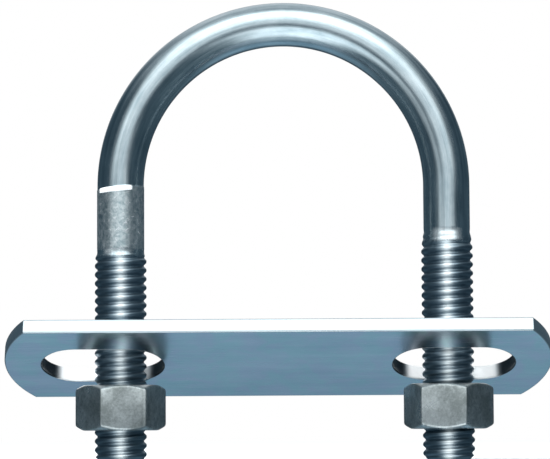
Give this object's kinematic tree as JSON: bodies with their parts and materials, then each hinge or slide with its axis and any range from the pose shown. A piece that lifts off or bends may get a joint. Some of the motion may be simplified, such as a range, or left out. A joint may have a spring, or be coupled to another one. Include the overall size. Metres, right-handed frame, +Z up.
{
  "type": "u-bolt with clamp plate",
  "caption": "Round-bend U-bolt with threaded legs, a slotted clamp plate across the legs and a hex nut under it on each leg.",
  "frame": {"origin": "centre of the bend, midway between the two leg axes at the height where the straight legs begin", "axes": "+Z up through the top of the bend, +X from the left leg to the right leg, -Y out of the face on which the plate's edge is raised"},
  "size_m": [0.099, 0.0255, 0.084],
  "materials": {
    "rod_zinc": "bright zinc plating on a drawn rod, with faint lengthwise streaks",
    "plate_zinc": "bluish zinc plating over rolled flat bar, with fine lengthwise grain",
    "nut_zinc": "duller grey zinc plating, slightly mottled"
  },
  "bodies": {
    "u_bolt": {"u_bolt": "rod_zinc"},
    "clamp_plate": {"clamp_plate": "plate_zinc"},
    "left_nut": {"left_nut": "nut_zinc"},
    "right_nut": {"right_nut": "nut_zinc"}
  },
  "joints": [
    {"name": "plate_travel", "type": "slide", "parent": "u_bolt", "child": "clamp_plate", "axis": [0, 0, 1], "range_m": [-0.00556, 0.02223]},
    {"name": "left_nut_spin", "type": "hinge", "parent": "clamp_plate", "child": "left_nut", "pos_m": [-0.0297, 0, 0], "axis": [0, 0, 1], "range_deg": [-1261, 5041]},
    {"name": "right_nut_spin", "type": "hinge", "parent": "clamp_plate", "child": "right_nut", "pos_m": [0.0297, 0, 0], "axis": [0, 0, 1], "range_deg": [-1261, 5041]}
  ],
  "couplings": [
    {"joint": "left_nut_spin", "follows": "plate_travel", "rad_per_m": 3957.9},
    {"joint": "right_nut_spin", "follows": "plate_travel", "rad_per_m": 3957.9}
  ]
}
